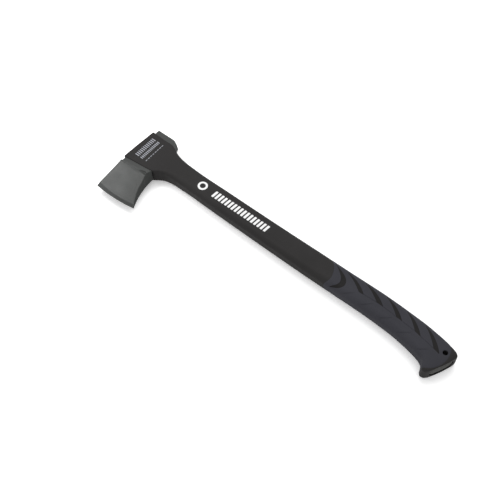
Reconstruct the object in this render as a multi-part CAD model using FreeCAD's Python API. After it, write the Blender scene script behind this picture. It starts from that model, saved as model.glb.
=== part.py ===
import FreeCAD, Part
import math
import os

# Splitting axe with a forged wedge head and a hollow moulded handle, lying on its side.
# Millimetres. +X runs from the head to the butt, +Y from the cutting edge to the poll,
# +Z is the thickness. The origin is under the middle of the whole tool's box.

V = FreeCAD.Vector

# ---- driving dimensions -------------------------------------------------------------
HALF_LENGTH = 300.0          # the tool is 600 long
POLL_Y = 70.0                # striking face of the poll; the cutting edge reaches -70
MID_Z = 14.0                 # middle plane: half the thickness of grip and knob

COLLAR_HALF = 13.0           # half thickness of the handle's collar round the head
SHOULDER_HALF = 12.2         # half thickness of the wedge where it meets the collar
POLL_HALF = 11.0
WAIST_HALF = 7.5             # half thickness of the head inside the collar
KNOB_HALF = MID_Z

# cutting edge: an arc over the chord from toe to heel
TOE = V(-300.0, -68.6, 0)
HEEL = V(-224.7, -65.3, 0)
EDGE_BULGE = 2.8
EDGE_FLAT = 0.3              # half thickness left on the very edge
BEVEL_LENGTH = 7.0
BEVEL_HALF = 2.6

# wedge profile before it is tilted: y stations and half thicknesses
HEAD_TILT = 4.0              # degrees the shoulder line leans from the handle's axis
TILT_POINT = V(-262.0, -4.0, 0)
WEDGE_TIP_Y = -80.0          # beyond the cutting edge, which the edge disc trims
BEVEL_Y = -61.3              # where the cheeks are BEVEL_HALF thick
CHEEK_ROOT_Y = -12.4
CHEEK_ROOT_HALF = 10.4       # half thickness where the cheek ends at the shoulder step
SHOULDER_Y = -9.4
CHEEK_HOLLOW = 0.5
GROOVE_HINGE = (V(-255.0, -21.6, 8.9), V(-226.5, -64.0, 2.2))    # on the cheek
GROOVE_TILT = 11.0           # degrees the groove's floor turns down about that line

# blade outline at the middle plane, and DRAFT_RISE above it
DRAFT_RISE = 13.2
TOP_EDGE_X = (-300.0, -299.2)        # end of the blade towards the toe
NOTCH_X = (-297.6, -296.8)
SHOULDER_X = (-296.6, -295.8)
BEARD = (
    ((-238.9, 0.0), (-236.8, -29.5), (-224.4, -66.0)),
    ((-246.6, 0.0), (-252.0, -27.0), (-234.4, -66.0)),
)
COLLAR_EDGE = ((-310.0, -6.2), (-246.0, 0.2), (-222.0, -14.0))   # ends the blade
POLL_EDGE = ((-310.0, 61.4), (-230.0, 58.0))                     # starts the poll
POLL_DRAW = 3.4              # how far the poll's far end draws in at its faces
POLL_SPARE = 2.0             # cut off again, so that the striking face is one plane

LANYARD_X, LANYARD_Y = 284.0, 20.3
LANYARD_R = 4.0
LANYARD_WALL = 3.0

SKIN = 2.5                   # thickness of the soft grip over the handle's core
CAVITY_INSET = 6.0           # from the outer surface to the hollow inside

MOUTH_CENTRE = V(291.3, 3.2, 0)   # middle of the slanted end face
MOUTH_SLANT = 28.0           # degrees that the end face leans from square
MOUTH_LONG = 38.5
MOUTH_HIGH = 19.0
MOUTH_DEPTH = 34.0
PLUG_RIM = 2.0               # the plug's rim sits this far inside the end face
PLUG_FLOOR = 6.0             # and its floor this far
PLUG_PLATE = 3.0
PLUG_WALL = 1.2

# Handle sections: x, belly y, back y, thickness, corner radius
NECK = [
    (-252.0, -0.4, 58.9, 26.0, 1.2),
    (-245.0, 0.3, 56.3, 26.0, 1.2),
]
BEAM = [
    (-245.0, 0.3, 56.3, 26.0, 1.2),
    (-238.0, 5.2, 53.0, 25.8, 2.5),
    (-228.0, 9.7, 50.2, 25.2, 4.0),
    (-216.0, 11.6, 48.8, 24.6, 5.5),
    (-196.0, 11.7, 48.1, 24.2, 7.0),
    (-120.0, 9.9, 47.6, 24.0, 7.5),
    (0.0, 7.9, 47.4, 24.0, 7.5),
    (60.0, 7.3, 47.9, 25.4, 8.5),
    (105.0, 7.2, 48.4, 27.2, 10.5),
    (170.0, 6.9, 49.0, 27.6, 11.0),
    (215.0, 3.9, 47.1, 27.6, 11.0),
    (240.0, 0.4, 44.7, 27.7, 9.0),
    (262.0, -5.2, 41.4, 28.0, 4.5),
]
HOLLOW_FROM, HOLLOW_TO = 3, 12     # first and last beam sections that are hollow

# Plan outline of the knob: x, y, corner radius
KNOB = [
    (259.0, 42.0, 0.0),
    (284.0, 36.6, 30.0),
    (301.0, 29.5, 7.0),
    (299.6, 19.0, 25.0),
    (292.0, 1.0, 60.0),
    (278.5, -21.0, 7.0),
    (269.5, -20.0, 5.5),
    (266.5, -6.6, 5.0),
    (259.0, -4.4, 0.0),
]
KNOB_FILLET = 4.5

# Crescent cut-out: its two tips, then each side's upper point, apex and lower point
CRESCENT_TIPS = ((78.5, 44.8), (92.5, 6.2))
CRESCENT_SIDES = (
    ((105.3, 32.9), (112.6, 20.1), (108.0, 11.5)),
    ((96.9, 32.2), (103.7, 20.7), (101.8, 14.0)),
)

# Five slots that sweep from the back edge to the seam: tip, lower left, lower right
SLOTS = [
    ((101.0, 42.0), (134.5, 24.8), (143.1, 25.3)),
    ((132.5, 43.8), (164.8, 26.4), (176.3, 26.2)),
    ((170.0, 44.4), (199.5, 24.5), (209.7, 24.0)),
    ((203.5, 43.2), (233.0, 21.7), (243.6, 19.9)),
    ((235.8, 40.6), (267.8, 15.4), (279.0, 12.8)),
]
SLOT_BOW_LEFT = 0.03         # height of a slot side's arc, as a share of its chord
SLOT_BOW_RIGHT = 0.09
SLOT_FLOOR = 5.0             # the cut-outs stop this far from the middle plane


# ---- helpers ------------------------------------------------------------------------
def at_mid(x, y, rise=0.0):
    """A point of the plan view, rise above the middle plane."""
    return V(x, y, MID_Z + rise)


def rounded_outline(corners, rise=0.0):
    """Closed wire through x, y, radius corners, each rounded by a tangent arc."""
    points = [at_mid(x, y, rise) for x, y, _ in corners]
    count = len(points)
    starts, ends, arcs = [], [], []
    for i, corner in enumerate(points):
        radius = corners[i][2]
        before = (points[i - 1] - corner).normalize()
        after = (points[(i + 1) % count] - corner).normalize()
        half = before.getAngle(after) / 2
        if radius == 0:
            starts.append(corner)
            ends.append(corner)
            arcs.append(None)
            continue
        reach = radius / math.tan(half)
        inward = (before + after).normalize()
        middle = corner + inward * (radius / math.sin(half) - radius)
        starts.append(corner + before * reach)
        ends.append(corner + after * reach)
        arcs.append(Part.Arc(starts[i], middle, ends[i]).toShape())
    edges = []
    for i in range(count):
        if arcs[i]:
            edges.append(arcs[i])
        edges.append(Part.makeLine(ends[i], starts[(i + 1) % count]))
    return Part.Wire(edges)


def slab(wire, half):
    """Solid of a plan outline, half its thickness each side of the middle plane."""
    face = Part.Face(wire)
    face.translate(V(0, 0, -half))
    return face.extrude(V(0, 0, 2 * half))


def sharp(points):
    return [(x, y, 0.0) for x, y in points]


def mirrored(shape):
    """The shape's reflection in the middle plane."""
    return shape.mirror(V(0, 0, MID_Z), V(0, 0, 1))


def bowed(a, b, bow):
    """Arc from a to b in plan; bow is its height over the chord, as a share of it."""
    chord = b - a
    side = V(-chord.y, chord.x, 0)
    return Part.Arc(a, (a + b) * 0.5 + side * bow, b).toShape()


def section(x, belly, back, thick, radius, inset=0.0):
    """Rounded rectangle of the handle in the plane at x, shrunk by inset."""
    low_y, high_y = belly + inset, back - inset
    half = thick / 2 - inset
    r = max(radius - inset, 1.0)
    diagonal = r * (1 - math.sqrt(0.5))
    edges = []
    arcs = []
    corners = [(high_y, 1, 1), (low_y, -1, 1), (low_y, -1, -1), (high_y, 1, -1)]
    for y, sy, sz in corners:
        z = MID_Z + sz * half
        on_side = V(x, y, z - sz * r)
        on_face = V(x, y - sy * r, z)
        middle = V(x, y - sy * diagonal, z - sz * diagonal)
        first, last = (on_side, on_face) if sy * sz > 0 else (on_face, on_side)
        arcs.append((first, middle, last))
    for i, (first, middle, last) in enumerate(arcs):
        edges.append(Part.Arc(first, middle, last).toShape())
        edges.append(Part.makeLine(last, arcs[(i + 1) % 4][0]))
    return Part.Wire(edges)


def beam(rows, inset=0.0, ruled=False):
    wires = [section(*row, inset=inset) for row in rows]
    return Part.makeLoft(wires, True, ruled)


# ---- head ---------------------------------------------------------------------------
def wedge_prism():
    """The wedge's side profile, extruded along the shoulder line."""
    x = -HALF_LENGTH - 20.0
    slope = (CHEEK_ROOT_HALF - BEVEL_HALF) / (CHEEK_ROOT_Y - BEVEL_Y)
    tip = max(BEVEL_HALF - slope * (BEVEL_Y - WEDGE_TIP_Y), 0.05)

    def side(sign):
        start = V(x, WEDGE_TIP_Y, MID_Z + sign * tip)
        root = V(x, CHEEK_ROOT_Y, MID_Z + sign * CHEEK_ROOT_HALF)
        step = V(x, SHOULDER_Y, MID_Z + sign * SHOULDER_HALF)
        back = V(x, 2.0, step.z)
        low_point = (start + root) * 0.5 - V(0, 0, sign * CHEEK_HOLLOW)
        cheek = Part.Arc(start, low_point, root).toShape()
        return start, back, [cheek, Part.makeLine(root, step), Part.makeLine(step, back)]

    top_start, top_back, top = side(1)
    low_start, low_back, low = side(-1)
    ends = [Part.makeLine(top_back, low_back), Part.makeLine(low_start, top_start)]
    wire = Part.Wire(Part.__sortEdges__(top + low + ends))
    prism = Part.Face(wire).extrude(V(120, 0, 0))
    prism.rotate(TILT_POINT, V(0, 0, 1), HEAD_TILT)
    return prism


def edge_disc():
    """Disc with a bevelled rim; its rim is the convex cutting edge."""
    chord = HEEL - TOE
    radius = chord.Length ** 2 / (8 * EDGE_BULGE) + EDGE_BULGE / 2
    inward = V(-chord.y, chord.x, 0).normalize()
    centre = (TOE + HEEL) * 0.5 + inward * (radius - EDGE_BULGE)
    reach = SHOULDER_HALF + 2.0
    inner = radius - (reach - EDGE_FLAT) * BEVEL_LENGTH / BEVEL_HALF
    profile = [
        V(0, 0, -reach), V(inner, 0, -reach), V(radius, 0, -EDGE_FLAT),
        V(radius, 0, EDGE_FLAT), V(inner, 0, reach), V(0, 0, reach), V(0, 0, -reach),
    ]
    disc = Part.Face(Part.makePolygon(profile)).revolve(V(0, 0, 0), V(0, 0, 1), 360)
    disc.translate(V(centre.x, centre.y, MID_Z))
    return disc


def blade_outline(level, rise):
    """Plan outline of the blade; level 0 is the middle plane, 1 is DRAFT_RISE up."""
    root, middle, heel = [at_mid(x, y, rise) for x, y in BEARD[level]]
    low = at_mid(heel.x + 6.0, WEDGE_TIP_Y - 2.0, rise)
    points = [
        low,
        at_mid(TOP_EDGE_X[level], low.y, rise),
        at_mid(TOP_EDGE_X[level], CHEEK_ROOT_Y - 0.2, rise),
        at_mid(NOTCH_X[level], CHEEK_ROOT_Y + 0.2, rise),
        at_mid(SHOULDER_X[level], root.y, rise),
        root,
    ]
    edges = [Part.makeLine(a, b) for a, b in zip(points, points[1:])]
    edges.append(Part.Arc(root, middle, heel).toShape())
    edges.append(Part.makeLine(heel, low))
    return Part.Wire(edges)


def groove_cutter():
    """Tapering valley beside the rib; its floor falls away from the cheek."""
    facet = [at_mid(-262.5, -9.6), at_mid(-251.9, -25.2), at_mid(-226.5, -64.0)]
    rib = [at_mid(-226.5, -64.0), at_mid(-241.2, -34.2), at_mid(-250.5, -6.6)]
    edges = [
        Part.Arc(*facet).toShape(),
        Part.Arc(*rib).toShape(),
        Part.makeLine(rib[2], facet[0]),
    ]
    face = Part.Face(Part.Wire(edges))
    sliver = face.extrude(V(0, 0, SHOULDER_HALF + 2.0))
    start, end = GROOVE_HINGE
    floor = wedge_prism()
    floor.rotate(start + V(0, 0, MID_Z), end - start, -GROOVE_TILT)
    return sliver.cut(floor)


def poll_block():
    """Block behind the collar, drafted and chamfered, and too long by POLL_SPARE."""
    far_y = POLL_Y + POLL_SPARE

    def outline(rise, draw):
        return rounded_outline(sharp([
            (-294.0 + draw / 3, 58.0), (-294.0 + draw / 3, far_y),
            (-260.1 - draw, far_y), (-248.6 - draw, 66.4), (-248.0 - draw, 56.0),
        ]), rise)

    half = Part.makeLoft([outline(0.0, 0.0), outline(POLL_HALF, POLL_DRAW)], True, True)
    return half.fuse(mirrored(half))


def axe_head():
    half = Part.makeLoft([blade_outline(0, 0.0), blade_outline(1, DRAFT_RISE)], True, True)
    blade = half.fuse(mirrored(half)).common(wedge_prism()).common(edge_disc())
    groove = groove_cutter()
    blade = blade.cut(groove).cut(mirrored(groove))
    start, _, end = COLLAR_EDGE
    before_collar = COLLAR_EDGE + ((end[0], -90.0), (start[0], -90.0))
    blade = blade.common(slab(rounded_outline(sharp(before_collar)), DRAFT_RISE))
    start, end = POLL_EDGE
    behind_collar = POLL_EDGE + ((end[0], POLL_Y), (start[0], POLL_Y))
    poll = poll_block().common(slab(rounded_outline(sharp(behind_collar)), DRAFT_RISE))
    waist = slab(rounded_outline([
        (-293.5, -8.0, 2.0), (-291.0, 62.0, 2.0), (-255.0, 60.5, 2.0), (-250.0, -5.0, 2.0),
    ]), WAIST_HALF)
    return blade.fuse([waist, poll]).removeSplitter()


# ---- handle and grip ----------------------------------------------------------------
def collar():
    block = slab(rounded_outline([
        (-299.9, -5.3, 2.0), (-296.6, 61.0, 2.5), (-252.0, 58.9, 0.0),
        (-252.0, -0.4, 0.0),
    ]), COLLAR_HALF)
    rim = [
        e for e in block.Edges
        if abs(abs(e.CenterOfMass.z - MID_Z) - COLLAR_HALF) < 0.01
        and e.CenterOfMass.x < -255.0
    ]
    return block.makeFillet(1.0, rim)


def knob(inset=0.0):
    wire = rounded_outline(KNOB)
    if inset:
        wire = wire.makeOffset2D(-inset)
    block = slab(wire, KNOB_HALF - inset)
    start = KNOB[0][0]
    rim = [
        e for e in block.Edges
        if abs(abs(e.CenterOfMass.z - MID_Z) - (KNOB_HALF - inset)) < 0.01
        and e.CenterOfMass.x > start + inset + 0.5
    ]
    return block.makeFillet(KNOB_FILLET - inset * 0.6, rim)


def outer_grip_end():
    return beam(BEAM).fuse(knob())


def grip_zone():
    """Plan region that the soft grip covers, from its arched front to its end arc."""
    back, crown, belly = at_mid(60.0, 52.0), at_mid(89.4, 19.0), at_mid(78.0, 3.0)
    rear = [at_mid(270.0, -19.0), at_mid(291.6, 12.0), at_mid(281.0, 40.0)]
    low_front, low_rear = at_mid(belly.x, -30.0), at_mid(258.0, -30.0)
    high_rear = at_mid(rear[2].x, back.y)
    edges = [
        Part.Arc(back, at_mid(83.0, 35.5), crown).toShape(),
        Part.Arc(crown, at_mid(86.8, 9.5), belly).toShape(),
        Part.makeLine(belly, low_front),
        Part.makeLine(low_front, low_rear),
        Part.makeLine(low_rear, rear[0]),
        Part.Arc(*rear).toShape(),
        Part.makeLine(rear[2], high_rear),
        Part.makeLine(high_rear, back),
    ]
    return slab(Part.Wire(edges), KNOB_HALF + 2)


def cut_out_outlines():
    """Plan outlines of the grip's openings: one crescent, then the swept slots."""
    back, belly = [at_mid(*tip) for tip in CRESCENT_TIPS]
    crescent = []
    for side in CRESCENT_SIDES:
        upper, apex, lower = [at_mid(*point) for point in side]
        crescent.append(Part.Arc(back, upper, apex).toShape())
        crescent.append(Part.Arc(apex, lower, belly).toShape())
    yield Part.__sortEdges__(crescent)
    for tip, low_left, low_right in SLOTS:
        a, b, c = at_mid(*tip), at_mid(*low_left), at_mid(*low_right)
        yield [
            bowed(a, b, SLOT_BOW_LEFT),
            Part.makeLine(b, c),
            bowed(c, a, -SLOT_BOW_RIGHT),
        ]


def cut_outs():
    """The openings as cutters, on both sides and clear of the edges' middle."""
    keep = Part.makeBox(400, 200, 2 * SLOT_FLOOR, V(0, -60, MID_Z - SLOT_FLOOR))
    return [
        slab(Part.Wire(edges), KNOB_HALF + 2).cut(keep) for edges in cut_out_outlines()
    ]


def mouth_frame(shape):
    """Move a shape drawn about the origin, looking out along +X, to the end face."""
    shape.rotate(V(0, 0, 0), V(0, 0, 1), -MOUTH_SLANT)
    shape.translate(V(MOUTH_CENTRE.x, MOUTH_CENTRE.y, MID_Z))
    return shape


def stadium_prism(start, length, inset=0.0):
    """Rounded bar along X with the mouth's section, from start, length long."""
    half_long = MOUTH_LONG / 2 - inset
    half_high = MOUTH_HIGH / 2 - inset
    r = half_high - 1.0
    corners = [(half_long, half_high), (-half_long, half_high),
               (-half_long, -half_high), (half_long, -half_high)]
    wire = rounded_outline([(y, z, r) for y, z in corners])
    wire.translate(V(0, 0, -MID_Z))
    face = Part.Face(wire)
    face.rotate(V(0, 0, 0), V(1, 1, 1), 120)
    face.translate(V(start, 0, 0))
    return face.extrude(V(length, 0, 0))


def end_plug():
    """Shallow cup pressed into the mouth, open outwards."""
    back = -PLUG_FLOOR - PLUG_PLATE
    block = stadium_prism(back, -PLUG_RIM - back)
    recess = stadium_prism(-PLUG_FLOOR, PLUG_FLOOR, inset=PLUG_WALL)
    return mouth_frame(block.cut(recess))


def lanyard_post(radius):
    return Part.makeCylinder(radius, 3 * MID_Z, V(LANYARD_X, LANYARD_Y, -MID_Z))


def soft_grip():
    shell = outer_grip_end().common(grip_zone())
    shell = shell.cut(handle_core())
    return shell.cut(cut_outs()).cut(lanyard_post(LANYARD_R))


def handle_core():
    return beam(BEAM[6:], inset=SKIN).fuse(knob(SKIN))


def handle_moulding(head, plug):
    skin = outer_grip_end().cut(grip_zone())
    body = skin.fuse([handle_core(), beam(NECK, ruled=True), collar()])
    hollow = beam(BEAM[HOLLOW_FROM:HOLLOW_TO + 1], inset=CAVITY_INSET)
    mouth = mouth_frame(stadium_prism(-MOUTH_DEPTH, MOUTH_DEPTH + 8.0))
    body = body.cut(hollow).cut(mouth)
    post = lanyard_post(LANYARD_R + LANYARD_WALL).common(knob(SKIN))
    body = body.fuse(post).cut(plug).cut(lanyard_post(LANYARD_R))
    return body.cut(head).removeSplitter()


def write(name, shape):
    shape.Solids[0].exportStep("parts/" + name + ".step")


os.makedirs("parts", exist_ok=True)
head = axe_head()
plug = end_plug()
write("axe_head", head)
write("end_plug", plug)
write("handle_moulding", handle_moulding(head, plug))
write("soft_grip", soft_grip())
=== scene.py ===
import math

import bpy
import numpy as np
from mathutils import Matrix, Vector, noise


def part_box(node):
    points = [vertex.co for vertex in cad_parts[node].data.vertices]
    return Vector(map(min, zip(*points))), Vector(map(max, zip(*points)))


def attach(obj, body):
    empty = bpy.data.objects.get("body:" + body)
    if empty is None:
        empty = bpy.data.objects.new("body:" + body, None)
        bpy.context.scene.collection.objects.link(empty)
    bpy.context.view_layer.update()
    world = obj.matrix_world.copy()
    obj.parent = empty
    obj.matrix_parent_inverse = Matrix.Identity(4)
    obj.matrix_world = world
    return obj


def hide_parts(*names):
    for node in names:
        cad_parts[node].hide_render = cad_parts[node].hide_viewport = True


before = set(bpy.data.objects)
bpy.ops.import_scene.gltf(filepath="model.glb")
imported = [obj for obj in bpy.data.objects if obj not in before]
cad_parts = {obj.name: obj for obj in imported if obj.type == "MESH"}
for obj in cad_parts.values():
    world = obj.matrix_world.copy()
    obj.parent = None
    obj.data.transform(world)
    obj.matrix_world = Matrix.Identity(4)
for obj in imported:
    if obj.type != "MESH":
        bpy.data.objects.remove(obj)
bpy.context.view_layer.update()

# A splitting axe lying on its side. Sizes below are in millimetres in the frame of the
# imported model: +X from the head to the butt, +Y from the cutting edge to the poll, +Z up.

MM = 0.001
HANDLE_LOW, HANDLE_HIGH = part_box("handle_moulding")
MID_Z = (HANDLE_LOW.z + HANDLE_HIGH.z) / 2 / MM

# ---- handle: one row per section --------------------------------------------------------
# belly x, y; back x, y; half thickness; corner radius; spacing of sections up to the next
COLLAR_ROWS = [
    (-299.9, -5.2, -296.6, 60.9, 13.0, 1.3, 4.0),
    (-272.0, -2.5, -272.0, 59.8, 13.0, 1.3, 3.0),
    (-250.0, -0.2, -250.0, 58.6, 13.0, 1.4, 1.5),
    (-245.0, 0.6, -245.0, 56.4, 12.95, 1.7, 1.2),
    (-238.0, 5.2, -238.0, 53.0, 12.8, 2.8, 1.2),
    (-228.0, 9.7, -228.0, 50.2, 12.5, 4.2, 1.5),
    (-216.0, 11.6, -216.0, 48.8, 12.3, 5.6, 2.0),
]
SHAFT_ROWS = [
    (-196.0, 11.7, -196.0, 48.1, 12.1, 7.0, 4.0),
    (-120.0, 9.9, -120.0, 47.6, 12.0, 7.5, 4.0),
    (0.0, 7.9, 0.0, 47.4, 12.0, 7.5, 4.0),
    (60.0, 7.3, 60.0, 47.9, 12.7, 8.5, 0.8),
]
GRIP_ROWS = [
    (105.0, 7.2, 105.0, 48.4, 13.6, 10.5, 0.8),
    (170.0, 6.9, 170.0, 49.0, 13.8, 11.0, 0.8),
    (215.0, 3.9, 215.0, 47.1, 13.8, 11.0, 0.8),
    (240.0, 0.2, 241.5, 44.6, 13.85, 9.5, 0.8),
    (253.0, -2.4, 259.0, 41.6, 13.95, 8.0, 0.8),
    (261.0, -4.9, 272.5, 38.9, 14.0, 6.5, 0.7),
    (265.4, -8.6, 282.0, 36.4, 14.0, 5.4, 0.7),
    (267.4, -13.0, 288.5, 34.4, 14.0, 4.9, 0.7),
    (268.9, -17.0, 293.6, 32.6, 14.0, 4.6, 0.7),
    (271.4, -19.8, 297.0, 31.0, 13.7, 4.5, 0.7),
    (274.8, -20.5, 299.2, 29.2, 12.9, 4.4, 0.7),
    (278.2, -19.4, 300.2, 27.2, 11.8, 4.4, 0.7),
    (280.6, -17.4, 300.3, 25.2, 10.6, 4.4, 0.7),
]
END_BULGE = 1.4              # how far the end face swells beyond a straight line
END_BULGE_X = (283.0, 299.0)  # the swell grows in over these stations
FACE_CROWN = 0.35            # how far the broad faces swell between their corners
CROWN_IN, CROWN_OUT = (9.0, 12.0), (12.0, 13.6)    # half thicknesses it comes and goes over

# soft grip: plan points, in order round its region
GRIP_FRONT = ((60.0, 52.0), (83.0, 35.5), (89.4, 19.0), (86.8, 9.5), (78.0, 3.0))
GRIP_REAR = ((270.0, -19.0), (291.6, 12.0), (281.0, 40.0))
GRIP_BELOW = ((78.0, -40.0), (258.0, -40.0))       # well off the belly
GRIP_ABOVE = ((281.0, 60.0), (60.0, 60.0))         # well off the back
SKIN_EDGE_DEPTH, SKIN_EDGE_WIDTH = 0.28, 0.5       # how the skin's edges roll down
CRESCENT_OUTER = (           # tip at the back, outer side, tip at the belly
    (79.5, 44.1), (94.4, 38.0), (105.4, 32.7), (110.7, 27.0), (112.6, 19.8), (108.8, 12.9),
    (102.5, 9.7), (93.7, 7.7),
)
CRESCENT_INNER = (           # the same tips, along the inner side
    (79.5, 44.1), (89.8, 37.5), (96.9, 32.1), (101.8, 26.5), (103.8, 20.5), (102.2, 14.8),
    (98.6, 10.9), (93.7, 7.7),
)
SLOTS = [
    ((99.6, 42.7), (134.5, 24.8), (143.1, 25.3)),
    ((131.6, 43.9), (164.8, 26.4), (176.3, 26.2)),
    ((169.1, 44.3), (199.5, 24.5), (209.7, 24.0)),
    ((203.5, 43.6), (233.0, 21.7), (243.6, 19.9)),
    ((237.0, 40.5), (267.8, 15.4), (279.0, 12.8)),
]
SLOT_BOWS = (0.045, 0.085)   # arc height of a slot's left and right side over its length
SEAM_ENDS = ((60.0, 24.0), (292.0, 8.0))
SEAM_X = (135.0, 278.0)      # the groove along the seam is cut between these stations
SEAM_DEPTH, SEAM_WIDTH = 0.65, 0.5
SLOT_FLOOR = 5.0             # cut-outs stop this far from the middle plane
SKIN_DEPTH = 1.5
LANYARD = (284.0, 20.3)
LANYARD_R = 4.0
CUT_OUT_DEPTH = (0.3, 0.45)  # everywhere, and added to it at the seam
CUT_OUT_FADE = 8.0           # the cut-outs grow shallower this far above the seam

# ribs under the fingers: each starts at a slot's foot and runs back towards the belly
RIB_DEPTH = 0.9
RIB_REACH = (2.0, 9.0)       # they fade in over these distances below the seam
RIB_END = (15.0, 24.0)       # and out again over these, on the belly
RIB_CRESTS = [102.0, 134.5, 164.8, 199.5, 233.0, 267.8, 301.0]
RIB_X_IN, RIB_X_OUT = (98.0, 118.0), (258.0, 270.0)
RIB_RUN, RIB_DROP = 1.2, 0.05    # shape of the climb, and share of a pitch the drop takes
WALL_HALF = 13.8             # the ribs go down the belly's wall from this far off the middle

# mouth in the end face, and the plug in it: inset, half height, depth of each row
MOUTH_INSET, MOUTH_HALF = 3.9, 9.6
MOUTH = [
    (1.0, 10.35, -0.15), (2.4, 10.05, -0.2), (3.6, 9.75, -0.05),
    (MOUTH_INSET, MOUTH_HALF, 0.3), (MOUTH_INSET, MOUTH_HALF, 3.0),
    (MOUTH_INSET, MOUTH_HALF, 8.6),
]
PLUG_RIM = [
    (3.95, 9.55, 7.0), (3.95, 9.55, 0.9), (4.05, 9.45, 0.6), (4.6, 8.6, 0.5), (4.8, 8.3, 0.7),
]
PLUG_WALL = [(4.85, 8.2, 1.1), (5.0, 8.05, 5.2), (5.3, 7.8, 5.6)]
PLUG_FLOOR = [
    (9.0, 4.8, 5.7), (9.6, 4.2, 5.4), (10.0, 3.9, 4.9), (10.6, 3.5, 4.8), (14.0, 1.6, 4.8),
]

HEAD_VOXEL = 0.35
HEAD_SMOOTHING = 4           # passes that round the forging's edges
HEAD_LUMPS = ((0.09, 0.07), (0.35, 0.025))         # waves per mm and height of each
CHEEK_CROWN, CHEEK_MIDDLE_X, CHEEK_HALF_WIDTH = 1.0, -266.0, 36.0

# printed marks on the upper face: a plain ring and plain bars
MARK_RING = (-164.0, 28.8, 8.0, 3.3)         # centre x, y, outer radius and width
BARS_X = (-142.0, -34.0)
BARS_Y = (21.7, 34.4)
BAR_COUNT, BAR_WIDTH, BAR_SLANT = 17, 3.9, 1.2
COLLAR_PRINT_Y = (8.0, 50.5)
COLLAR_PRINT = (              # x, height, thickness and count of the bars in each row
    (-284.6, 7.6, 1.5, 12), (-275.0, 5.2, 1.4, 14), (-265.4, 1.0, 3.6, 8),
)
PRINT_LIFT, PRINT_SINK = 0.08, 0.25
BAR_TRIM = 0.15              # share of a bar cut off each corner
BAR_SLICES = 6               # pieces of a long bar, so that it follows the swollen face
RING_PARTS = 40

# studio, in metres: name, place, point it faces, size and watts of each light
LIGHTS = [
    ("key", (-0.26, 0.96, 1.74), (0, 0, 0), 1.5, 21.0),
    ("head_side", (-0.46, -0.03, 0.31), (-0.30, -0.03, 0.014), 0.12, 0.38),
    ("front_left", (-1.06, -0.64, 0.85), (0, 0, 0), 0.6, 2.6),
]
WORLD_STRENGTH, FLOOR_GLOW = 0.75, 0.28
CAMERA_AZIMUTH, CAMERA_ELEVATION, CAMERA_DISTANCE = 39.0, 57.0, 1.377
CAMERA_TARGET = (-0.04878, -0.00914, 0.014)
CAMERA_LENS = 67.15          # on a 36 mm sensor


# ---- plan geometry ------------------------------------------------------------------------
def arc(a, via, b, count=12):
    """Points along the circle from a through via to b, b left out."""
    a, via, b = (complex(*p) for p in (a, via, b))
    w = (b - a) / (via - a)
    centre = a + (w - abs(w) ** 2) / (2j * w.imag) * (via - a)
    start, middle, end = (np.angle(p - centre) for p in (a, via, b))
    turn = (end - start) % (2 * math.pi)
    if (middle - start) % (2 * math.pi) > turn:
        turn -= 2 * math.pi
    angles = start + turn * np.arange(count) / count
    return np.c_[
        centre.real + abs(a - centre) * np.cos(angles),
        centre.imag + abs(a - centre) * np.sin(angles),
    ]


def bowed(a, b, bow, count=12):
    """Arc from a to b whose height is bow times its length, to the left of its way."""
    a, b = np.array(a), np.array(b)
    chord = b - a
    return arc(a, (a + b) / 2 + bow * np.array([-chord[1], chord[0]]), b, count)


def hermite(t, a, b, slope_a, slope_b):
    return (
        (1 + 2 * t) * (1 - t) ** 2 * a + t * (1 - t) ** 2 * slope_a
        + t * t * (3 - 2 * t) * b + t * t * (t - 1) * slope_b
    )


def smooth_line(points, count=8):
    """Smooth curve through plan points, the last one left out."""
    points = np.array(points, float)
    gaps = np.linalg.norm(np.diff(points, axis=0), axis=1)
    slopes = np.gradient(points, np.r_[0, np.cumsum(gaps)], axis=0)
    t = (np.arange(count) / count)[:, None]
    return np.vstack([
        hermite(t, points[i], points[i + 1], gap * slopes[i], gap * slopes[i + 1])
        for i, gap in enumerate(gaps)
    ])


def inside_distance(points, outline):
    """Distance from each plan point to a closed outline, positive inside it."""
    nearest = np.full(len(points), 1e9)
    inside = np.zeros(len(points), bool)
    for a, b in zip(outline, np.roll(outline, -1, axis=0)):
        edge = b - a
        offset = points - a
        t = np.clip(offset @ edge / (edge @ edge), 0, 1)
        nearest = np.minimum(nearest, np.linalg.norm(offset - t[:, None] * edge, axis=1))
        crosses = (a[1] > points[:, 1]) != (b[1] > points[:, 1])
        meets = a[0] + edge[0] * (points[:, 1] - a[1]) / (edge[1] or 1e-9)
        inside ^= crosses & (points[:, 0] < meets)
    return np.where(inside, nearest, -nearest)


def side_distance(points, line):
    """Distance from each plan point to an open line, positive to the left of its way."""
    nearest = np.full(len(points), 1e9)
    signed = np.zeros(len(points))
    for a, b in zip(line, line[1:]):
        edge = b - a
        offset = points - a
        t = np.clip(offset @ edge / (edge @ edge), 0, 1)
        gap = np.linalg.norm(offset - t[:, None] * edge, axis=1)
        left = np.sign(edge[0] * offset[:, 1] - edge[1] * offset[:, 0])
        closer = gap < nearest
        signed = np.where(closer, gap * left, signed)
        nearest = np.minimum(nearest, gap)
    return signed


def rise(value, low, high):
    """Smooth step from 0 at low to 1 at high."""
    t = np.clip((value - low) / (high - low), 0, 1)
    return t * t * (3 - 2 * t)


# ---- handle surface -----------------------------------------------------------------------
FLAT, CORNER, WALL = 46, 22, 10      # points across each part of a section


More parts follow.
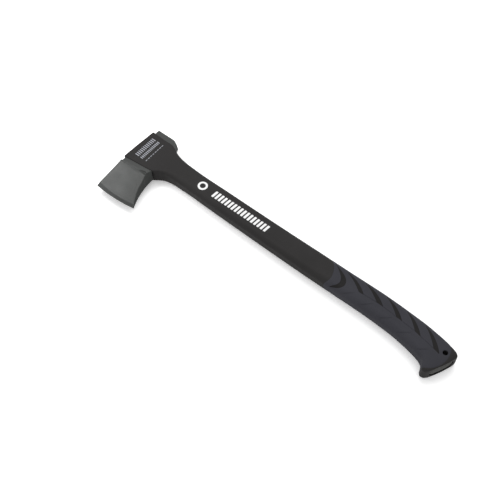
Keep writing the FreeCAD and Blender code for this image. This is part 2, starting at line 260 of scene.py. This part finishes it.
def section_template():
    """For every point of a section: place across, outward across, rim side, outward up."""
    parts = []
    for side in (1, -1):
        t = np.arange(FLAT) / FLAT
        angle = np.arange(CORNER) / CORNER * math.pi / 2
        wall = np.arange(WALL) / WALL
        far = 1.0 if side > 0 else 0.0
        across = t if side > 0 else 1 - t
        parts.append(np.c_[across, 0 * t, side + 0 * t, side + 0 * t])
        parts.append(np.c_[far + 0 * angle, side * np.sin(angle), side + 0 * angle,
                           side * np.cos(angle)])
        parts.append(np.c_[far + 0 * wall, side + 0 * wall, side * (1 - 2 * wall), 0 * wall])
        parts.append(np.c_[far + 0 * angle, side * np.cos(angle), -side + 0 * angle,
                           -side * np.sin(angle)])
    return np.vstack(parts).T


TEMPLATE = section_template()


def sections(rows):
    """Grid of points: one rounded section for each (low xy, high xy, half, radius, bulge)."""
    place, out, rim, up = TEMPLATE[:, None, :]
    low, high = rows[:, None, 0:2], rows[:, None, 2:4]
    half, radius, bulge = rows[:, 4:5], rows[:, 5:6], rows[:, 6:7]
    width = np.linalg.norm(high - low, axis=2)
    along = (high - low) / width[..., None]
    ahead = np.stack([along[..., 1], -along[..., 0]], axis=2)
    across = radius + place * (width - 2 * radius) + radius * out
    share = across / width
    swell = bulge * 4 * share * (1 - share)
    crown = FACE_CROWN * np.sin(math.pi * place) ** 2 * np.where(out == 0, up, 0)
    crown = crown * rise(half, *CROWN_IN) * (1 - rise(half, *CROWN_OUT))
    z = MID_Z + (half - radius) * rim + radius * up + crown
    plan = low + along * across[..., None] + ahead * swell[..., None]
    return np.dstack([plan, z])


def dense(rows):
    """Rows along smooth curves through the given ones, at each row's own spacing."""
    rows = np.array(rows, float)
    values, spacing = rows[:, :6], rows[:, 6]
    middle = (values[:, 0:2] + values[:, 2:4]) / 2
    gaps = np.linalg.norm(np.diff(middle, axis=0), axis=1)
    slopes = np.gradient(values, np.r_[0, np.cumsum(gaps)], axis=0)
    made = []
    for i, gap in enumerate(gaps):
        count = max(1, round(gap / spacing[i]))
        t = (np.arange(count) / count)[:, None]
        made.append(
            hermite(t, values[i], values[i + 1], gap * slopes[i], gap * slopes[i + 1])
        )
    return np.vstack(made + [values[-1:]])


def collar_end(first):
    """Rows that round the collar's end over to its flat end face."""
    low, high = first[0:2], first[2:4]
    along = (high - low) / np.linalg.norm(high - low)
    ahead = np.array([along[1], -along[0]])
    plan_r, rim_r = 2.0, 1.0
    made = []
    for depth in (0.0, 0.12, 0.4, 0.9, 1.5):
        inset = plan_r - math.sqrt(plan_r ** 2 - (plan_r - depth) ** 2)
        drop = max(rim_r - depth, 0)
        half = first[4] - rim_r + math.sqrt(rim_r ** 2 - drop ** 2)
        made.append(np.r_[low + ahead * depth + along * inset,
                          high + ahead * depth - along * inset, half, first[5]])
    return np.array(made)


def end_face_rows(last, profile):
    """Rows about the end face; each has an inset from its ends, half height and depth."""
    low, high = last[0:2], last[2:4]
    along = (high - low) / np.linalg.norm(high - low)
    ahead = np.array([along[1], -along[0]])
    made = []
    for inset, half, depth in profile:
        shift = -ahead * depth
        bulge = END_BULGE - 0.1 * inset
        radius = min(half - 0.4, 4.4 + 1.6 * inset)
        made.append(np.r_[low + along * inset + shift, high - along * inset + shift,
                          half, radius, bulge])
    return np.array(made)


def snap(points, value, reach=3.0):
    """Moves grid points onto the line where value is 0, so that no edge crosses it."""
    best = np.full(value.shape, 1e9)
    target = points.copy()
    for axis, step in ((0, 1), (0, -1), (1, 1), (1, -1)):
        other = np.roll(value, -step, axis=axis)
        neighbour = np.roll(points, -step, axis=axis)
        crossing = (value * other < 0) & (abs(value) < reach) & (abs(other) < reach)
        if axis == 0:
            crossing[-1 if step > 0 else 0] = False
        t = np.where(crossing, value / np.where(crossing, value - other, 1), 1)
        move = t[..., None] * (neighbour - points)
        length = np.linalg.norm(move, axis=2)
        chosen = crossing & (t <= 0.5) & (length < best)
        target[chosen] = (points + move)[chosen]
        best[chosen] = length[chosen]
    snapped = best < 1e9
    return target, np.where(snapped, 0.0, value)


def grid_normals(points):
    """Outward unit normals of the handle's grid."""
    ahead = np.gradient(points, axis=0)
    around = np.roll(points, -1, axis=1) - np.roll(points, 1, axis=1)
    normal = np.cross(ahead, around)
    return normal / np.maximum(np.linalg.norm(normal, axis=2, keepdims=True), 1e-9)


def grid_faces(value):
    """Faces of the grid where value is positive, and where it isn't."""
    count, around = value.shape
    index = np.arange(count * around).reshape(count, around)
    after = np.roll(index, -1, axis=1)
    quads = np.stack([index[:-1], index[1:], after[1:], after[:-1]], axis=2).reshape(-1, 4)
    signs = np.sign(value.ravel())[quads]
    mixed = (signs.max(1) > 0) & (signs.min(1) < 0)
    inside = [tuple(q) for q in quads[~mixed & (signs.sum(1) > 0)]]
    outside = [tuple(q) for q in quads[~mixed & (signs.sum(1) <= 0)]]
    for quad, sign in zip(quads[mixed], signs[mixed]):
        first = 0 if sign[0] == 0 and sign[2] == 0 else 1
        turned = np.roll(quad, -first)
        turned_sign = np.roll(sign, -first)
        for triangle, s in (((0, 1, 2), turned_sign[1]), ((0, 2, 3), turned_sign[3])):
            (inside if s > 0 else outside).append(tuple(turned[list(triangle)]))
    return inside, outside


def seam_line():
    """The seam under the slots' feet, from the first slot to the last."""
    feet = [foot for _, left, right in SLOTS for foot in (left, right)]
    return np.array(feet)


def cut_out_distance(points):
    """Distance inside the nearest slot or crescent, negative outside them all."""
    outline = np.vstack([smooth_line(CRESCENT_OUTER), smooth_line(CRESCENT_INNER[::-1])])
    found = inside_distance(points, outline)
    for tip, left, right in SLOTS:
        outline = np.vstack([
            bowed(tip, left, SLOT_BOWS[0]), bowed(left, right, 0.001, 2),
            bowed(right, tip, -SLOT_BOWS[1]),
        ])
        found = np.maximum(found, inside_distance(points, outline))
    return found


def grip_zone_distance(points):
    front_back, upper, crown, lower, front_belly = GRIP_FRONT
    outline = np.vstack([
        arc(front_back, upper, crown), arc(crown, lower, front_belly),
        [front_belly, *GRIP_BELOW],
        arc(*GRIP_REAR), [GRIP_REAR[2], *GRIP_ABOVE],
    ])
    return inside_distance(points, outline)


# ---- making pieces ------------------------------------------------------------------------
def piece(name, points, faces, materials, slot, *nodes, crease=38, second=()):
    """Mesh on the model's one body, in millimetres; faces in second get materials[1]."""
    faces = [[int(i) for i in face] for face in faces]
    used = sorted({i for face in faces for i in face})
    place = {old: new for new, old in enumerate(used)}
    mesh = bpy.data.meshes.new(name)
    vertices = [tuple(float(c) * MM for c in points[i]) for i in used]
    mesh.from_pydata(vertices, [], [[place[i] for i in face] for face in faces])
    for material in materials:
        mesh.materials.append(material)
    for face in second:
        mesh.polygons[face].material_index = 1
    mesh.validate()
    mesh.shade_smooth()
    mesh.set_sharp_from_angle(angle=math.radians(crease))
    thing = bpy.data.objects.new(name, mesh)
    bpy.context.collection.objects.link(thing)
    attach(thing, "root")
    if nodes:
        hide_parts(*nodes)
    return thing


def skirt(points, normals, faces, depth):
    """New points and faces that turn a sheet's free edges down by depth."""
    open_edges = {}
    for face in faces:
        for a, b in zip(face, face[1:] + face[:1]):
            if open_edges.pop((b, a), None) is None:
                open_edges[(a, b)] = True
    rim = sorted({i for edge in open_edges for i in edge})
    lower = {old: len(points) + new for new, old in enumerate(rim)}
    points = np.vstack([points, points[rim] - depth * normals[rim]])
    return points, faces + [(b, a, lower[a], lower[b]) for a, b in open_edges]


def end_caps(count, around):
    """Faces that close the first and last loop of a grid."""
    first = tuple(reversed(range(around)))
    return [first, tuple(range((count - 1) * around, count * around))]


def handle_rows():
    """Every section of the handle, the last of them down into the mouth."""
    body = dense(COLLAR_ROWS + SHAFT_ROWS + GRIP_ROWS)
    body = np.c_[body, END_BULGE * rise(body[:, 2], *END_BULGE_X)]
    collar = collar_end(body[0])
    collar = np.c_[collar, np.zeros(len(collar))]
    return np.vstack([collar, body[1:], end_face_rows(body[-1], MOUTH)])


def lanyard_distance(points):
    return LANYARD_R - np.linalg.norm(points - np.array(LANYARD), axis=1)


def regions(surface):
    """Signed distances at every grid point: to the grip's zone, cut-outs and hole."""
    plan = surface[..., :2].reshape(-1, 2)
    shape = surface.shape[:2]
    off_middle = abs(surface[..., 2] - MID_Z) - SLOT_FLOOR
    zone = grip_zone_distance(plan).reshape(shape)
    zone[-len(MOUTH):] = -10.0
    cut = np.minimum(cut_out_distance(plan).reshape(shape), off_middle)
    hole = np.minimum(lanyard_distance(plan).reshape(shape), off_middle)
    return zone, cut, hole


def rib_height(x, below_seam, up):
    """Ribs on the belly side: a crest, a quick drop after it, and a slow climb back."""
    reach = below_seam + np.maximum(WALL_HALF - abs(up), 0)
    phase = np.interp(x + reach, RIB_CRESTS, range(-1, len(RIB_CRESTS) - 1))
    share = phase - np.floor(phase)
    dip = (1 - share) ** RIB_RUN * rise(share, 0.0, RIB_DROP)
    fade = rise(reach, *RIB_REACH) * (1 - rise(reach, *RIB_END))
    fade = fade * rise(x, *RIB_X_IN) * (1 - rise(x, *RIB_X_OUT))
    return -RIB_DEPTH * dip * fade


def handle_and_grip(polymer, painted_shade_polymer, rubber):
    """The hard handle and the soft skin over it, cut from one surface."""
    surface = sections(handle_rows())
    normals = grid_normals(surface)
    zone, cut, hole = regions(surface)
    surface, skin = snap(surface, np.minimum(zone, np.minimum(-cut, -hole)))
    zone, cut, hole = regions(surface)
    x, up = surface[..., 0], surface[..., 2] - MID_Z
    line = np.vstack([SEAM_ENDS[:1], seam_line(), SEAM_ENDS[1:]])
    above_seam = side_distance(surface[..., :2].reshape(-1, 2), line).reshape(x.shape)
    on_face = (x > SEAM_X[0]) & (x < SEAM_X[1]) & (abs(up) > SLOT_FLOOR)
    moved, seam = snap(surface, np.where(on_face & (skin != 0), above_seam, 99.0))
    surface = np.where((skin != 0)[..., None], moved, surface)

    inside, outside = grid_faces(skin)
    flat_normals = normals.reshape(-1, 3)
    edge = SKIN_EDGE_DEPTH * np.exp(-abs(skin) / SKIN_EDGE_WIDTH)
    height = rib_height(x, -above_seam, up) - edge
    groove = SEAM_DEPTH * np.exp(-(seam / SEAM_WIDTH) ** 2)
    height = np.where(on_face & (skin > 0), height - groove, height)
    grip_points = (surface + normals * height[..., None]).reshape(-1, 3)
    grip_points, grip_faces = skirt(grip_points, flat_normals, inside, SKIN_DEPTH + 0.1)
    grip = piece("soft_grip_skin", grip_points, grip_faces, [rubber], "grip_rubber",
                 "soft_grip")

    deeper = np.exp(-np.maximum(above_seam, 0) / CUT_OUT_FADE)
    floor = -CUT_OUT_DEPTH[0] - CUT_OUT_DEPTH[1] * deeper
    height = np.where(skin > 0, -SKIN_DEPTH, 0.0)
    height = np.where((skin == 0) & (abs(zone) < 0.3), -0.2, height)
    height = np.where((skin <= 0) & (cut > -0.3), floor, height)
    height = np.where((skin == 0) & (abs(hole) < 0.3), -SKIN_DEPTH, height)
    core_points = (surface + normals * height[..., None]).reshape(-1, 3)
    core_faces = []
    for face in inside + outside:
        if min(hole.ravel()[list(face)]) > -0.01 and max(hole.ravel()[list(face)]) > 0.05:
            continue
        core_faces.append(face)
    # faces inside the cut-outs take a darker copy of the same polymer: painted shade in the
    # recesses
    painted_shade_cut_faces = [i for i, face in enumerate(core_faces) if cut.ravel()[list(face)].min() > -0.05]
    core_faces += end_caps(*skin.shape)
    tube_points, tube_faces = lanyard_tube(len(core_points))
    core_points = np.vstack([core_points, tube_points])
    core = piece("handle_shell", core_points, core_faces + tube_faces,
                 [polymer, painted_shade_polymer], "handle_polymer", "handle_moulding", second=painted_shade_cut_faces)
    return core, grip


def lanyard_tube(start, around=64):
    """Wall of the lanyard hole, facing its axis; start is its first point's number."""
    angle = np.arange(around) / around * 2 * math.pi
    radius, half = LANYARD_R + 0.05, MID_Z - SKIN_DEPTH + 0.1
    ring = np.c_[LANYARD[0] + radius * np.cos(angle), LANYARD[1] + radius * np.sin(angle)]
    points = np.vstack([
        np.c_[ring, np.full(around, MID_Z - half)], np.c_[ring, np.full(around, MID_Z + half)],
    ])
    faces = []
    for i in range(around):
        after = (i + 1) % around
        faces.append((start + i, start + around + i, start + around + after, start + after))
    return points, faces


def end_plug(wall, floor):
    """Cup pressed into the mouth, one plastic in two colours: its wall light grey as painted
    light, its rim and floor near-black as painted shade.
    """
    end = dense(GRIP_ROWS)[-1]
    surface = sections(end_face_rows(end, PLUG_RIM + PLUG_WALL + PLUG_FLOOR))
    count, around = surface.shape[:2]
    _, faces = grid_faces(np.full((count, around), -1.0))
    faces.append(end_caps(count, around)[1])
    wall_start = len(PLUG_RIM) * around
    floor_start = wall_start + (len(PLUG_WALL) - 1) * around
    # rim and floor faces: near-black painted shade; the wall between them: light grey painted
    # light
    painted_shade_plug_faces = [*range(wall_start), *range(floor_start, len(faces))]
    return piece("end_plug_cup", surface.reshape(-1, 3), faces, [wall, floor],
                 "plug_polymer", "end_plug", crease=50, second=painted_shade_plug_faces)


# ---- head ---------------------------------------------------------------------------------
def cheek_crown(place):
    """Height added to a point of the blade, so that its cheeks swell along the edge."""
    share = (place.x - CHEEK_MIDDLE_X) / CHEEK_HALF_WIDTH
    up = place.z - MID_Z
    fade = rise(-place.y, 8.0, 16.0) * rise(abs(up), 0.3, 3.0)
    return float(math.copysign(CHEEK_CROWN, up) * max(1 - share ** 2, 0) * fade)


def head(material):
    """The forged head: softened edges and a slightly uneven surface."""
    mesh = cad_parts["axe_head"].data.copy()
    thing = bpy.data.objects.new("forged_head", mesh)
    bpy.context.collection.objects.link(thing)
    remesh = thing.modifiers.new("remesh", "REMESH")
    remesh.mode = "VOXEL"
    remesh.voxel_size = HEAD_VOXEL * MM
    smooth = thing.modifiers.new("soften", "SMOOTH")
    smooth.factor = 0.5
    smooth.iterations = HEAD_SMOOTHING
    view = bpy.context.evaluated_depsgraph_get()
    solid = bpy.data.meshes.new_from_object(thing.evaluated_get(view))
    thing.modifiers.clear()
    thing.data = solid
    solid.shade_smooth()
    for vertex, normal in zip(solid.vertices, [v.normal.copy() for v in solid.vertices]):
        place = vertex.co / MM
        lump = sum(noise.noise(place * pitch) * height for pitch, height in HEAD_LUMPS)
        vertex.co += normal * lump * MM
        vertex.co.z += cheek_crown(place) * MM
    solid.materials.clear()
    solid.materials.append(material)
    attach(thing, "root")
    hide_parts("axe_head")
    return thing


# ---- prints -------------------------------------------------------------------------------
def face_heights(rows):
    """Function that gives the height of the handle's upper face over a plan point."""
    upper = sections(rows)[:, :FLAT, :]

    def height(x, y):
        section = np.array([np.interp(y, line[:, 1], line[:, 2]) for line in upper])
        return float(np.interp(x, upper[:, FLAT // 2, 0], section))

    return height


def plates(name, outlines, material):
    """Thin printed plates that follow the upper face: one ring of points for each."""
    body = dense(COLLAR_ROWS + SHAFT_ROWS)
    face_height = face_heights(np.c_[body, np.zeros(len(body))])
    points, faces = [], []
    for outline in outlines:
        count, start = len(outline), len(points)
        for lift in (PRINT_LIFT, -PRINT_SINK):
            points += [(x, y, face_height(x, y) + lift) for x, y in outline]
        faces.append(tuple(start + i for i in range(count)))
        for i in range(count):
            after = (i + 1) % count
            faces.append((start + i, start + count + i, start + count + after, start + after))
    return piece(name, np.array(points), faces, [material], "handle_polymer")


def bar(x, y_low, y_high, width, slant, slices=1):
    """Slices of a slanted bar with trimmed corners, so that it can follow a crown."""
    trim = min(width, y_high - y_low) * BAR_TRIM
    inner = np.linspace(y_low + trim, y_high - trim, slices + 1)
    levels = [y_low, *inner, y_high]
    halves = [width / 2 - trim] + [width / 2] * len(inner) + [width / 2 - trim]
    middles = [x + slant * ((y - y_low) / (y_high - y_low) - 0.5) for y in levels]
    return [
        [(middles[i] - halves[i], levels[i]), (middles[i] + halves[i], levels[i]),
         (middles[i + 1] + halves[i + 1], levels[i + 1]),
         (middles[i + 1] - halves[i + 1], levels[i + 1])]
        for i in range(len(levels) - 1)
    ]


def shaft_print(material):
    """A ring and a row of slanted bars on the shaft."""
    x, y, outer, width = MARK_RING
    outlines = []
    for i in range(RING_PARTS):
        a, b = (n / RING_PARTS * 2 * math.pi for n in (i, i + 1))
        outlines.append([
            (x + r * math.cos(t), y + r * math.sin(t))
            for r, t in ((outer - width, a), (outer, a), (outer, b), (outer - width, b))
        ])
    pitch = (BARS_X[1] - BARS_X[0]) / BAR_COUNT
    for i in range(BAR_COUNT):
        x = BARS_X[0] + (i + 0.5) * pitch
        outlines += bar(x, *BARS_Y, BAR_WIDTH, BAR_SLANT, BAR_SLICES)
    return plates("shaft_print", outlines, material)


def collar_print(material):
    """Two rows of fine bars and a thin line across the collar."""
    outlines = []
    low, high = COLLAR_PRINT_Y
    for x, height, thickness, count in COLLAR_PRINT:
        pitch = (high - low) / count
        for i in range(count):
            y = low + (i + 0.5) * pitch
            outlines += bar(x, y - thickness / 2, y + thickness / 2, height, 0.0)
    return plates("collar_print", outlines, material)


# ---- materials ----------------------------------------------------------------------------
def ramp(tree, source, *stops):
    """Colour ramp over a 0 to 1 value; stops are position and grey or colour."""
    made = tree.nodes.new("ShaderNodeValToRGB")
    elements = made.color_ramp.elements
    for i, (position, colour) in enumerate(stops):
        element = elements[i] if i < 2 else elements.new(position)
        element.position = position
        colour = colour if isinstance(colour, tuple) else (colour,) * 3
        element.color = (*colour, 1.0)
    tree.links.new(source, made.inputs["Fac"])
    return made.outputs["Color"]


def noise_map(tree, scale, detail=4.0):
    """Noise over the piece; scale is cells per metre."""
    where = tree.nodes.new("ShaderNodeTexCoord")
    made = tree.nodes.new("ShaderNodeTexNoise")
    made.inputs["Scale"].default_value = scale
    made.inputs["Detail"].default_value = detail
    made.inputs["Roughness"].default_value = 0.55
    tree.links.new(where.outputs["Object"], made.inputs["Vector"])
    return made.outputs["Fac"]


def mix(tree, share, a, b, mode="MIX"):
    made = tree.nodes.new("ShaderNodeMix")
    made.data_type = "RGBA"
    made.blend_type = mode
    for socket, value in ((made.inputs[0], share), (made.inputs[6], a), (made.inputs[7], b)):
        if isinstance(value, bpy.types.NodeSocket):
            tree.links.new(value, socket)
        else:
            socket.default_value = value
    return made.outputs[2]


def bump(tree, height, strength, distance, below=None):
    made = tree.nodes.new("ShaderNodeBump")
    made.inputs["Strength"].default_value = strength
    made.inputs["Distance"].default_value = distance * MM
    tree.links.new(height, made.inputs["Height"])
    if below is not None:
        tree.links.new(below, made.inputs["Normal"])
    return made.outputs["Normal"]


def surface_material(name, specular=0.5):
    made = bpy.data.materials.new(name)
    made.use_nodes = True
    tree = made.node_tree
    shader = tree.nodes["Principled BSDF"]
    shader.inputs["Specular IOR Level"].default_value = specular
    return made, tree, shader


def grey(value, tint=(1.0, 1.0, 1.0)):
    return tuple(value * t for t in tint)


def worn_edges(tree, low, high):
    """1 on sharp outer edges, 0 elsewhere."""
    geometry = tree.nodes.new("ShaderNodeNewGeometry")
    return ramp(tree, geometry.outputs["Pointiness"], (low, 0.0), (high, 1.0))


def coated_steel():
    made, tree, shader = surface_material("coated_steel_grey_green")
    tint = (0.95, 1.04, 0.97)
    broad = ramp(tree, noise_map(tree, 22.0), (0.3, grey(0.019, tint)), (0.7, grey(0.025, tint)))
    fleck = ramp(tree, noise_map(tree, 900.0, 2.0), (0.35, 0.88), (0.7, 1.08))
    colour = mix(tree, 1.0, broad, fleck, "MULTIPLY")
    colour = mix(tree, worn_edges(tree, 0.57, 0.70), colour, (*grey(0.07), 1.0))
    tree.links.new(colour, shader.inputs["Base Color"])
    rough = ramp(tree, noise_map(tree, 60.0), (0.3, 0.36), (0.7, 0.44))
    tree.links.new(rough, shader.inputs["Roughness"])
    fine = bump(tree, noise_map(tree, 1300.0, 2.0), 0.12, 0.05)
    lumps = bump(tree, noise_map(tree, 160.0, 3.0), 0.25, 0.15, fine)
    tree.links.new(lumps, shader.inputs["Normal"])
    shader.inputs["Metallic"].default_value = 0.15
    return made


def moulded_polymer(name, value, tint, rough_range, specular=0.03, grain=1500.0):
    made, tree, shader = surface_material(name, specular)
    broad = ramp(tree, noise_map(tree, 14.0), (0.3, grey(value * 0.93, tint)),
                 (0.7, grey(value * 1.07, tint)))
    speck = ramp(tree, noise_map(tree, grain * 0.7, 2.0), (0.3, 0.92), (0.7, 1.08))
    colour = mix(tree, 1.0, broad, speck, "MULTIPLY")
    scuffed = mix(tree, 0.35, colour, (*grey(value * 2.2, tint), 1.0))
    colour = mix(tree, worn_edges(tree, 0.54, 0.64), colour, scuffed)
    tree.links.new(colour, shader.inputs["Base Color"])
    rough = ramp(tree, noise_map(tree, 70.0), (0.3, rough_range[0]), (0.7, rough_range[1]))
    tree.links.new(rough, shader.inputs["Roughness"])
    grains = bump(tree, noise_map(tree, grain, 2.0), 0.16, 0.04)
    tree.links.new(grains, shader.inputs["Normal"])
    return made


def print_ink(name, value, tint):
    made, tree, shader = surface_material(name, specular=0.3)
    cover = ramp(tree, noise_map(tree, 700.0, 3.0), (0.30, grey(value * 0.9, tint)),
                 (0.6, grey(value, tint)))
    tree.links.new(cover, shader.inputs["Base Color"])
    rough = ramp(tree, noise_map(tree, 120.0), (0.3, 0.5), (0.7, 0.62))
    tree.links.new(rough, shader.inputs["Roughness"])
    return made


# ---- stage --------------------------------------------------------------------------------
def stage():
    size = 6.0
    mesh = bpy.data.meshes.new("studio_floor")
    corners = [(-size, -size, 0), (size, -size, 0), (size, size, 0), (-size, size, 0)]
    mesh.from_pydata(corners, [], [(0, 1, 2, 3)])
    floor = bpy.data.objects.new("studio_floor", mesh)
    bpy.context.collection.objects.link(floor)
    paint = bpy.data.materials.new("studio_white")
    paint.use_nodes = True
    shader = paint.node_tree.nodes["Principled BSDF"]
    shader.inputs["Base Color"].default_value = (0.92, 0.92, 0.92, 1)
    shader.inputs["Roughness"].default_value = 0.9
    shader.inputs["Specular IOR Level"].default_value = 0.0
    shader.inputs["Emission Color"].default_value = (1, 1, 1, 1)
    shader.inputs["Emission Strength"].default_value = FLOOR_GLOW
    mesh.materials.append(paint)


def softbox(name, place, target, size, power):
    data = bpy.data.lights.new(name, "AREA")
    data.shape = "SQUARE"
    data.size = size
    data.energy = power
    lamp = bpy.data.objects.new(name, data)
    lamp.location = place
    away = Vector(place) - Vector(target)
    lamp.rotation_euler = away.to_track_quat("Z", "Y").to_euler()
    bpy.context.collection.objects.link(lamp)


def lights():
    world = bpy.data.worlds.new("studio")
    world.use_nodes = True
    world.node_tree.nodes["Background"].inputs["Color"].default_value = (1, 1, 1, 1)
    world.node_tree.nodes["Background"].inputs["Strength"].default_value = WORLD_STRENGTH
    bpy.context.scene.world = world
    for row in LIGHTS:
        softbox(*row)


def camera():
    azimuth, elevation = math.radians(CAMERA_AZIMUTH), math.radians(CAMERA_ELEVATION)
    back = Vector((
        math.sin(azimuth) * math.cos(elevation),
        -math.cos(azimuth) * math.cos(elevation),
        math.sin(elevation),
    ))
    data = bpy.data.cameras.new("camera")
    data.sensor_width = 36.0
    data.lens = CAMERA_LENS
    made = bpy.data.objects.new("camera", data)
    made.location = Vector(CAMERA_TARGET) + back * CAMERA_DISTANCE
    made.rotation_euler = back.to_track_quat("Z", "Y").to_euler()
    bpy.context.collection.objects.link(made)
    bpy.context.scene.camera = made


# ---- the tool -----------------------------------------------------------------------------
BLACK_TINT = (1.03, 0.99, 0.985)
polymer = moulded_polymer("handle_polymer_black", 0.027, BLACK_TINT, (0.42, 0.52))
# darker copy of the handle polymer for the cut-outs' floors: painted shade
painted_shade_polymer = moulded_polymer("cut_out_polymer_painted_shade", 0.017, BLACK_TINT, (0.5, 0.6))
rubber = moulded_polymer("grip_rubber_blue_grey", 0.039, (0.96, 0.96, 1.13), (0.6, 0.72),
                         specular=0.05, grain=2200.0)
# one plug plastic in two colours: light grey painted light on its wall, near-black painted shade
# on its rim and floor
plug_painted_light_grey = moulded_polymer("plug_polymer_painted_light_grey", 0.19, (1.0, 1.0, 0.97), (0.45, 0.55))
plug_painted_shade_black = moulded_polymer("plug_polymer_painted_shade_black", 0.006, BLACK_TINT, (0.5, 0.6))
handle_and_grip(polymer, painted_shade_polymer, rubber)
end_plug(plug_painted_light_grey, plug_painted_shade_black)
head(coated_steel())
shaft_print(print_ink("print_white", 0.75, (1.0, 1.0, 1.0)))
collar_print(print_ink("print_grey", 0.32, (0.95, 0.98, 1.08)))
stage()
lights()
camera()
bpy.context.scene.view_settings.view_transform = "Standard"
